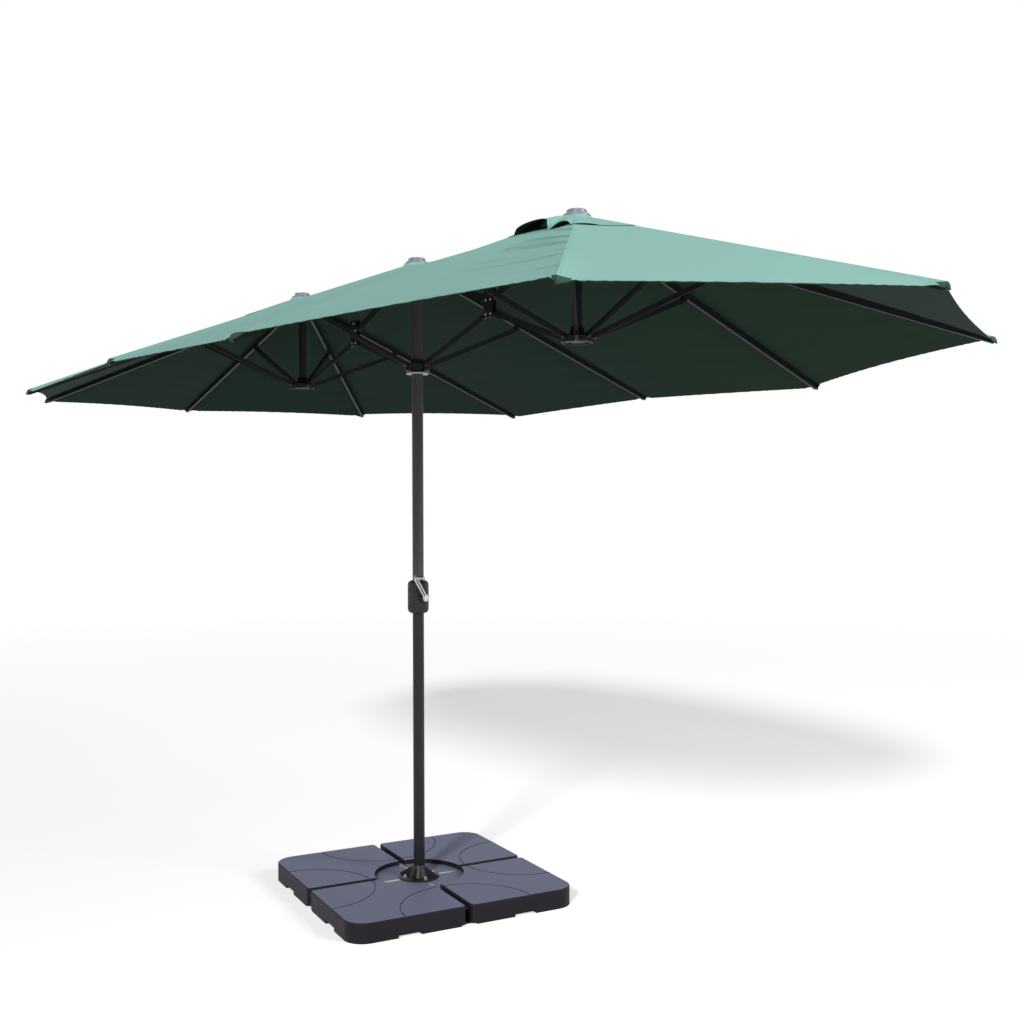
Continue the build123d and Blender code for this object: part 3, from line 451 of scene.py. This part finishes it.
# Between the hubs: the plane from the ridge to the hem, dished between the ribs and lifted along them.
def spanHeight(x, y):
    share = np.clip(x / spacing, 0, 1)
    middle, side = seams["middle"], seams["side"]
    low = hems["span"][1]
    middleZ, sideZ = (seam["tipZ"] + (seam["axisZ"] - seam["tipZ"]) * low for seam in (middle, side))
    hemY = (1 - share) * middle["tip"] + share * side["tip"]
    hemZ = (1 - share) * middleZ + share * sideZ
    t = y / hemY
    dish = 4 * cloth["dish"] * np.sin(np.pi * share) * t * (1 - t)
    out = cloth["ridgeZ"] - (cloth["ridgeZ"] - hemZ) * t - dish
    for kind, off, edgeZ in (("middle", x, middleZ), ("side", spacing - x, sideZ)):
        base = cloth["ridgeZ"] - (cloth["ridgeZ"] - edgeZ) * y / seams[kind]["tip"]
        lift = seamZ(kind, np.maximum(y, cloth["clamp"])) - base
        out = out + lift * tentFade(np.abs(off), t) * np.clip(y / cloth["clamp"], 0, 1)
    return out


# Round a side hub, at px and y from its axis: the ruled surface between two seams, dished, and dropping
# towards the hem away from the ribs. Also says which points lie between the two seams.
def sectorHeight(px, y, first, second):
    a, b = seams[first], seams[second]
    cross = a["way"][0] * b["way"][1] - a["way"][1] * b["way"][0]
    alongA = (px * b["way"][1] - y * b["way"][0]) / cross / a["tip"]
    alongB = (a["way"][0] * y - a["way"][1] * px) / cross / b["tip"]
    inside = (px > 0) & (alongA >= -1e-9) & (alongB >= -1e-9)
    t = np.maximum(alongA + alongB, 1e-9)
    v = np.clip(alongB / t, 0, 1)
    ruled = (1 - v) * seamZ(first, t * a["tip"]) + v * seamZ(second, t * b["tip"])
    apart = np.minimum(v, 1 - v) * t * math.dist(a["tip"] * a["way"], b["tip"] * b["way"])
    clear = (1 - v) * (a["tipZ"] - a["axisZ"]) + v * (b["tipZ"] - b["axisZ"])
    fall = clear * hemOf(first, second)[1] * np.clip(t, 0, 1.1) ** 2 * (1 - tentFade(apart, t))
    return inside, ruled - fall - 4 * cloth["dish"] * np.sin(np.pi * v) * t * (1 - t)


def heightAt(x, y):  # the canopy's height over plan points, alike in all four quarters
    x, y = np.abs(x), np.abs(y)
    out = spanHeight(x, y)
    for first, second in (("end", "corner"), ("corner", "side")):
        inside, ruled = sectorHeight(x - spacing, y, first, second)
        out = np.where(inside, ruled, out)
    return out


def collar(x, y, z, hubX):  # lifts the cloth onto the hub's drum inside the cap's rim, by a smooth step
    start = cloth["clamp"] - cloth["collarStart"]
    t = np.clip((np.hypot(x - hubX, y) - start) / cloth["collarWidth"], 0, 1)
    t = t * t * (3 - 2 * t)
    return cloth["topZ"] + (z - cloth["topZ"]) * t


# Unit normals of the canopy over plan points, from its slopes by small steps both ways.
def normalsOf(x, y, step=0.002):
    slopeX = (heightAt(x + step, y) - heightAt(x - step, y)) / (2 * step)
    slopeY = (heightAt(x, y + step) - heightAt(x, y - step)) / (2 * step)
    normal = np.stack([-slopeX, -slopeY, np.ones_like(slopeX)], -1)
    return normal / np.linalg.norm(normal, axis=-1, keepdims=True)


# Unit normals of a grid from its own steps along rows and columns, turned upwards.
def gridNormals(points):
    normal = np.cross(np.gradient(points, axis=0), np.gradient(points, axis=1))
    length = np.linalg.norm(normal, axis=-1, keepdims=True)
    normal = normal / np.maximum(length, 1e-12)
    return normal * np.where(normal[..., 2].mean() < 0, -1, 1)


# The quads of the upper of two grids, and of the rim that joins them all round, both turned outwards.
def shellQuads(top, under):
    rows, columns = top.shape[:2]
    count = rows * columns
    index = np.arange(count).reshape(rows, columns)
    upper = np.stack([index[:-1, :-1], index[1:, :-1], index[1:, 1:], index[:-1, 1:]], -1).reshape(-1, 4)
    edge = np.concatenate([index[:-1, 0], index[-1, :-1], index[:0:-1, -1], index[0, :0:-1]])
    after = np.roll(edge, -1)
    rim = np.stack([edge, edge + count, after + count, after], -1)
    facing = np.cross(top[1:, :-1] - top[:-1, :-1], top[1:, 1:] - top[1:, :-1])
    if (facing * (under - top)[:-1, :-1]).sum() > 0:
        upper, rim = upper[:, ::-1], rim[:, ::-1]
    return upper, rim


# A normal for every corner: the upper grid's own, with the next piece's in its two border columns, the same
# turned down below, and each rim quad's own.
def cornerNormals(top, sides, points, loops, upper, rim):
    normals = gridNormals(top)
    normals[:, 0], normals[:, -1] = sides[:, 0], sides[:, -1]
    corner = normals.reshape(-1, 3)[loops % (len(points) // 2)]
    upperCorners = len(upper) * 4
    corner[upperCorners:2 * upperCorners] *= -1
    outward = np.cross(points[rim[:, 1]] - points[rim[:, 0]], points[rim[:, 3]] - points[rim[:, 0]])
    outward /= np.maximum(np.linalg.norm(outward, axis=1, keepdims=True), 1e-12)
    corner[2 * upperCorners:] = np.repeat(outward, 4, axis=0)
    return corner


# A closed thin sheet: a grid of points and the same grid below it, joined round the edge. The lower grid
# drops further along the hem, where the cloth is turned under. Sides are the normals for the two border
# columns, and shaded marks the points of the upper face painted a darker green: painted shade on the noses.
def shell(name, top, across, fromHem, thick, hemWidth, sides=None, shaded=None):
    turnedUnder = np.clip((hemWidth - fromHem) / cloth["hemEdge"], 0, 1) * (hemWidth > 0)
    deep = thick + cloth["hemThick"] * turnedUnder
    under = top + np.array([0, 0, -1.0]) * deep[..., None]
    points = np.concatenate([top.reshape(-1, 3), under.reshape(-1, 3)])
    count = len(points) // 2
    upper, rim = shellQuads(top, under)
    faces = np.concatenate([upper, upper[:, ::-1] + count, rim])
    mesh = bpy.data.meshes.new(name)
    mesh.from_pydata(points.tolist(), [], faces.tolist())
    mesh.materials.append(extra["canopyFoldShade"] if name in drawn else paints["canopy_top"])
    mesh.materials.append(paints["canopy_under"])
    mesh.materials.append(paints["canopy_cloth"])
    mark = np.zeros(len(faces), np.int32)
    # the lower faces and the rim take the underside's painted shade
    mark[len(upper):] = 1
    # painted shade: upper faces wholly on a nose take the darker third material
    if shaded is not None:
        mark[:len(upper)] = np.where(shaded.ravel()[upper].all(1), 2, 0)
    mesh.polygons.foreach_set("material_index", mark)
    mesh.polygons.foreach_set("use_smooth", np.arange(len(faces)) < 2 * len(upper))
    layer = mesh.uv_layers.new(name="UVMap")
    loops = np.zeros(len(mesh.loops), np.int32)
    mesh.loops.foreach_get("vertex_index", loops)
    uv = np.stack([across.ravel(), fromHem.ravel()], -1)
    layer.data.foreach_set("uv", uv[loops % count].astype(np.float32).ravel())
    mesh.update()
    if sides is not None:
        mesh.normals_split_custom_set(cornerNormals(top, sides, points, loops, upper, rim).tolist())
    piece = bpy.data.objects.new(name, mesh)
    scene.collection.objects.link(piece)
    return piece


# Makes the sheet ride on the given body, with a mesh of its own.
def declare(piece, body):
    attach(piece, body)
    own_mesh(piece)
    return piece


# Small ripples beside the seam and along the hem, each a sine under a bell curve, and wide folds that run out
# from the seam and are gone halfway to the next rib. away is 0 at the seam and 1 halfway.
def pucker(across, fromHem, alongSeam, away, phase, heights):
    tau = 2 * np.pi
    near = folds["seamHeight"] * np.exp(-(across / folds["seamReach"]) ** 2)
    near = near * np.sin(alongSeam * tau / folds["seamWave"] + phase + folds["seamSlant"] * across)
    hem = folds["hemHeight"] * np.exp(-(fromHem / folds["hemReach"]) ** 2)
    hem = hem * np.sin(np.abs(across) * tau / folds["hemWave"])
    height = np.where(across < 0, *heights) * (1 - away ** 2) * np.clip(fromHem / folds["wideFade"], 0, 1)
    height = height * np.clip((alongSeam - folds["wideStart"]) / folds["wideFade"], 0, 1)
    drift = np.sin(fromHem * folds["driftHem"] + phase)
    drift = drift + np.sin(across * folds["driftSeam"] + folds["driftBoth"] * fromHem)
    turns = fromHem / folds["wideWave"] + folds["wideDrift"] * drift
    wave = np.sin(tau * turns + phase) + folds["overtone"] * np.sin(2 * tau * turns + 1.0)
    wide = height * wave * np.clip(np.abs(across) / folds["wideRamp"], 0, 1)
    return (near + hem) * np.clip(np.abs(across) / folds["seamFlat"], 0, 1) + wide


# The cloth turned down over a rib's end: a quarter of an ellipse towards the hem, less and less away from the
# seam.
def noseDrop(across, fromHem, wide):
    near = np.clip(1 - np.abs(across) / wide, 0, 1)
    u = np.clip(1 - fromHem / nose["long"], 0, 1)
    return nose["deep"] * near * (1 - np.sqrt(1 - u ** 2))


# How far inside the line between two ribs' ends the hem lies: a parabola, and a step back beside each end's
# nose.
def setBack(v, chord, bow, wide):
    near = np.clip(1 - np.minimum(v, 1 - v) * chord / wide, 0, 1)
    return 4 * v * (1 - v) * bow * chord + nose["out"] * (1 - near ** 2)


# Half a panel between the hubs, from the rib in the first column to the panel's middle: plan x and y, the
# distances from seam and hem, the share of the way to the middle, and the nose's half width. towards is +1
# where the middle lies at larger x.
def spanHalf(towards, kind):
    start = 0.0 if kind == "middle" else spacing
    t = halfSteps[None, :]
    x = start + towards * t * spacing / 2 + np.zeros((len(rowSteps), 1))
    share = x / spacing
    wide = nose[kind][0]
    line = (1 - share) * seams["middle"]["tip"] + share * seams["side"]["tip"]
    hemY = line - setBack(share, spacing, hems["span"][0], wide)
    innerY = np.full_like(x, cloth["strip"])
    if kind == "side":
        innerY = np.maximum(innerY, np.sqrt(np.maximum(cloth["vent"] ** 2 - (x - spacing) ** 2, 0)))
    s = rowSteps[:, None]
    y, fromHem = innerY + (hemY - innerY) * s, (hemY - innerY) * (1 - s)
    return x, y, np.abs(x - start), fromHem, t + 0 * x, wide + 0 * x


# Half a panel round a side hub, in the same six arrays: rays from the vent's circle to the hem, from the rib
# to the middle between it and its neighbour.
def radialHalf(kind, other):
    a, b = seams[kind], seams[other]
    v = halfSteps[None, :] / 2
    planX, planY = ((1 - v) * a["tip"] * a["way"][i] + v * b["tip"] * b["way"][i] for i in (0, 1))
    length = np.hypot(planX, planY)
    chord = math.dist(a["tip"] * a["way"], b["tip"] * b["way"])
    inner = cloth["vent"] / length
    wide = nose[kind][0 if (kind, other) == ("corner", "side") else 1]
    outer = 1 - setBack(v, chord, hemOf(kind, other)[0], wide) / length
    s = rowSteps[:, None]
    total = inner + (outer - inner) * s
    gap = np.abs(planX * total * a["way"][1] - planY * total * a["way"][0])
    fromHem = (outer - inner) * (1 - s) * length
    return spacing + planX * total, planY * total, gap, fromHem, 2 * v + 0 * gap, wide + 0 * gap


# Two halves that share their first column as one grid, with the distance from the seam negative on the left.
def joinHalves(left, right):
    parts = []
    for index, (a, b) in enumerate(zip(left, right)):
        a = -a if index == 2 else a
        parts.append(np.concatenate([a[:, :0:-1], b], 1))
    return parts


# One panel on its rib, mirrored into its own quarter.
def makePanel(name, halves, mirrorX, mirrorY, body, seamAt, phase):
    x, y, across, fromHem, away, wide = joinHalves(*halves)
    along = np.hypot(x - seamAt, y)
    ripple = pucker(across, fromHem, along, away, phase, drawn.get(name, usualDrawn))
    z = heightAt(x, y) + ripple - noseDrop(across, fromHem, wide)
    mirror = np.array([mirrorX, mirrorY, 1.0])
    top = np.stack([x, y, z], -1) * mirror
    sides = normalsOf(x, y) * mirror
    onNose = (fromHem < nose["long"]) & (np.abs(across) < wide)
    piece = shell(name, top, across, fromHem, cloth["thick"], cloth["hem"], sides, onNose)
    return declare(piece, body)


sideHalves = (spanHalf(-1, "side"), radialHalf("side", "corner"))
cornerHalves = (radialHalf("corner", "side"), radialHalf("corner", "end"))
endHalf = radialHalf("end", "corner")
endHalves = (endHalf, (endHalf[0], -endHalf[1]) + endHalf[2:])
middleHalf = spanHalf(1, "middle")
middleHalves = ((-middleHalf[0],) + middleHalf[1:], middleHalf)
for flank, mirrorY in flanks:
    name, body = f"canopy_middle_{flank}", f"middle_rib_{flank}"
    makePanel(name, middleHalves, 1, mirrorY, body, 0.0, 1.0 + mirrorY)
for hand, mirrorX in hands:
    for flank, mirrorY in flanks:
        name, body = f"canopy_{hand}_{flank}", f"{hand}_rib_{flank}"
        phase = 2 + mirrorX + 2.5 * mirrorY
        makePanel(name, sideHalves, mirrorX, mirrorY, body, spacing, phase)
        name, body = f"{name}_corner", f"{body}_corner"
        makePanel(
            name, cornerHalves, mirrorX, mirrorY, body, spacing, phase + 1,
        )
    name, body = f"canopy_{hand}_end", f"{hand}_rib_end"
    makePanel(name, endHalves, mirrorX, 1, body, spacing, 1.7 * mirrorX)
print("panels ready")


# The strip along the ridge, from under the centre cap to the vent. Its ripples begin outside the cap.
ridge = {
    "rows": 170, "rowCrowd": 1.5, "halfColumns": 14, "columnCrowd": 1.4, "phase": 0.7, "rippleFrom": (0.07, 0.05),
}


def ridgeStrip(hand, mirrorX):
    half = np.linspace(0, 1, ridge["halfColumns"]) ** ridge["columnCrowd"]
    y = np.concatenate([-half[:0:-1], half]) * cloth["strip"]
    s = np.linspace(0, 1, ridge["rows"])[:, None]
    start = np.sqrt(np.maximum(cloth["hole"] ** 2 - y ** 2, 0))[None, :]
    end = (spacing - np.sqrt(cloth["vent"] ** 2 - y ** 2))[None, :]
    x = start + (end - start) * s ** ridge["rowCrowd"]
    y = y[None, :] + np.zeros_like(x)
    far = np.full_like(y, 1.0)
    begin, width = ridge["rippleFrom"]
    ripple = pucker(y, far, x, np.abs(y) / cloth["strip"], ridge["phase"], (0, 0))
    ripple = ripple * np.clip((x - begin) / width, 0, 1)
    z = collar(x, y, heightAt(x, y), 0.0) + ripple
    mirror = np.array([mirrorX, 1.0, 1.0])
    top = np.stack([x, y, z], -1) * mirror
    sides = normalsOf(x, y) * mirror
    piece = shell(f"canopy_ridge_{hand}", top, y, far, cloth["thick"], 0.0, sides)
    return declare(piece, "mast")


for hand, mirrorX in hands:
    ridgeStrip(hand, mirrorX)
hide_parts("canopy")


# The vent flaps, in metres and degrees of azimuth.
flap = {"rim": 0.270, "lift": 0.0018, "thick": 0.0014, "hem": 0.016, "settle": 0.25, "columns": 91, "rows": 46}
flapArches = {  # from and to azimuth, height of the rim over the canopy, and steepness of both sides
    "right": (
        (-86, -60.5, 0.0375, 0.30, 0.12), (-59, -44, 0.016, 1.0, 0.6), (-42, -24, 0.004, 1, 1),
        (-138, -180, 0.006, 1, 1), (138, 180, 0.014, 1, 1), (20, 66, 0.003, 1, 1), (90, 138, 0.012, 1, 1),
    ),
    "left": (
        (-42, 0, 0.003, 1, 1), (0, 42, 0.003, 1, 1), (42, 90, 0.005, 1, 1), (-90, -42, 0.004, 1, 1),
        (-138, -180, 0.010, 1, 1), (138, 180, 0.010, 1, 1), (90, 138, 0.006, 1, 1), (-90, -138, 0.006, 1, 1),
    ),
}
flapPuffs = {"right": (-92, -36, 0.013), "left": (-90, 90, 0.002)}  # from and to azimuth, and height
flapCorners = np.radians([  # where the rim's straight sides meet, over the ribs and their mirror images
    -180.0, cornerTurn - 180, -90.0, -cornerTurn, 0.0,
    cornerTurn, 90.0, 180 - cornerTurn, 180.0, 180 + cornerTurn, 270.0,
])


# A power of a parabola over its own range of azimuths, 1 at its highest and 0 at both ends.
def archAt(azimuth, begin, end, rise, fall):
    v = np.clip((azimuth - begin) / (end - begin), 0, 1)
    crest = rise / (rise + fall)
    return (v / crest) ** rise * ((1 - v) / (1 - crest)) ** fall


# A sector of a flap: it follows the canopy below it at a set lift, its rim stands up in arches, and it puffs
# up between hub and rim by the square of a sine.
def flapSector(hand, mirrorX, label, centre, low, high):
    degrees = np.linspace(low, high, flap["columns"])
    theta = np.radians(degrees)[None, :]
    order = np.clip(np.searchsorted(flapCorners, theta, side="right"), 1, len(flapCorners) - 1)
    before, after = flapCorners[order - 1], flapCorners[order]
    rim = flap["rim"] * np.cos((after - before) / 2) / np.cos(theta - (before + after) / 2)
    azimuth = (degrees + 180) % 360 - 180
    arch = np.zeros_like(degrees)
    for begin, end, height, rise, fall in flapArches[hand]:
        arch += height * archAt(azimuth, begin, end, rise, fall)
    begin, end, height = flapPuffs[hand]
    puff = height * np.sin(np.pi * np.clip((azimuth - begin) / (end - begin), 0, 1)) ** 2
    s = np.linspace(0, 1, flap["rows"])[:, None]
    radius = cloth["hole"] + (rim - cloth["hole"]) * s
    x, y = spacing + radius * np.cos(theta), radius * np.sin(theta)
    lift = flap["lift"] + arch[None, :] * s ** 2 + puff[None, :] * np.sin(np.pi * s) ** 1.5
    z = collar(x, y, heightAt(x, y) + lift * np.clip(s / flap["settle"], 0, 1), spacing)
    top = np.stack([x * mirrorX, y, z], -1)
    across = radius * (theta - math.radians(centre))
    piece = shell(f"vent_flap_{hand}_{label}", top, across, rim - radius, flap["thick"], flap["hem"])
    body = f"{hand}_outer_short_rib" if label == "inward" else f"{hand}_rib_{label}"
    return declare(piece, body)


near, far = cornerTurn / 2, (cornerTurn + 90) / 2  # azimuths halfway between neighbouring ribs
sectors = (
    ("back", 90, far, 135), ("back_corner", cornerTurn, near, far), ("end", 0, -near, near),
    ("front_corner", -cornerTurn, -far, -near), ("front", -90, -135, -far), ("inward", 180, 135, 225),
)
for hand, mirrorX in hands:
    made = [flapSector(hand, mirrorX, *sector) for sector in sectors]
    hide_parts(f"{hand}_vent_flap")
print("flaps ready")


# Small hardware, in metres.
rivet = {
    "radius": 0.0050, "height": 0.0024, "sunk": -0.0002, "face": 0.0090,
    "x": 0.4735, "halfPitch": 0.014, "heights": (2.189, 2.139), "top": 2.219,
}
ring = {"inner": 0.0232, "outer": 0.0430, "top": 1.9750, "height": 0.0065, "bevel": 0.0015, "around": 48}


# Surfaces of revolution about several axes in one mesh: rows of (radius, height) turned round each centre,
# with the heights along its axis. Ends at radius 0 are closed by merging.
def lathe(name, profile, centres, axis, material, around=24, wrapProfile=False):
    radius, height = np.array(profile).T
    turn = np.linspace(0, 2 * np.pi, around, endpoint=False)
    axis = Vector(axis).normalized()
    first = axis.orthogonal().normalized()
    second = np.array(axis.cross(first))
    first, axis = np.array(first), np.array(axis)
    spin = np.cos(turn)[None, :, None] * first + np.sin(turn)[None, :, None] * second
    shape = radius[:, None, None] * spin + height[:, None, None] * axis
    points = np.concatenate([shape.reshape(-1, 3) + np.array(centre) for centre in centres])
    rows = len(radius)
    index = np.arange(rows * around).reshape(rows, around)
    if wrapProfile:
        index = np.concatenate([index, index[:1]])
    right = np.roll(index, -1, axis=1)
    quads = np.stack([index[:-1], right[:-1], right[1:], index[1:]], -1).reshape(-1, 4)
    faces = np.concatenate([quads + number * rows * around for number in range(len(centres))])
    mesh = bpy.data.meshes.new(name)
    mesh.from_pydata(points.tolist(), [], faces.tolist())
    work = bmesh.new()
    work.from_mesh(mesh)
    bmesh.ops.remove_doubles(work, verts=work.verts, dist=1e-6)
    bmesh.ops.recalc_face_normals(work, faces=work.faces)
    work.to_mesh(mesh)
    work.free()
    mesh.polygons.foreach_set("use_smooth", np.ones(len(mesh.polygons), bool))
    mesh.materials.append(material)
    piece = bpy.data.objects.new(name, mesh)
    scene.collection.objects.link(piece)
    return piece


# A rivet's head: a quarter of an ellipse turned round its axis, on a flat back.
def rivetProfile():
    radius, height, sunk = rivet["radius"], rivet["height"], rivet["sunk"]
    curve = [(radius * math.cos(a), height * math.sin(a)) for a in np.linspace(0, np.pi / 2, 6)]
    return [(0, sunk), (radius, sunk)] + curve


def ringProfile():  # a flat ring, bevelled at its lower outer edge
    inner, outer, low, bevel = ring["inner"], ring["outer"], -ring["height"], ring["bevel"]
    return [(inner, 0), (inner, low), (outer - bevel, low), (outer, low + bevel), (outer, 0)]


for hand, mirrorX in hands:
    for flank, mirrorY in flanks:
        faceY = mirrorY * rivet["face"]
        places = [
            (mirrorX * (rivet["x"] + way * rivet["halfPitch"]), faceY, z)
            for way in (-1, 1) for z in rivet["heights"]
        ]
        places.append((mirrorX * rivet["x"], faceY, rivet["top"]))
        name, steel = f"rivet_heads_{hand}_{flank}", extra["rivetSteel"]
        heads = lathe(name, rivetProfile(), places, (0, mirrorY, 0), steel)
        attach(heads, f"{hand}_bracket")
washer = lathe(
    "runner_ring", ringProfile(), [(0, 0, ring["top"])], (0, 0, 1), extra["whitePlastic"],
    ring["around"], True,
)
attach(washer, "runner")
print("hardware ready")
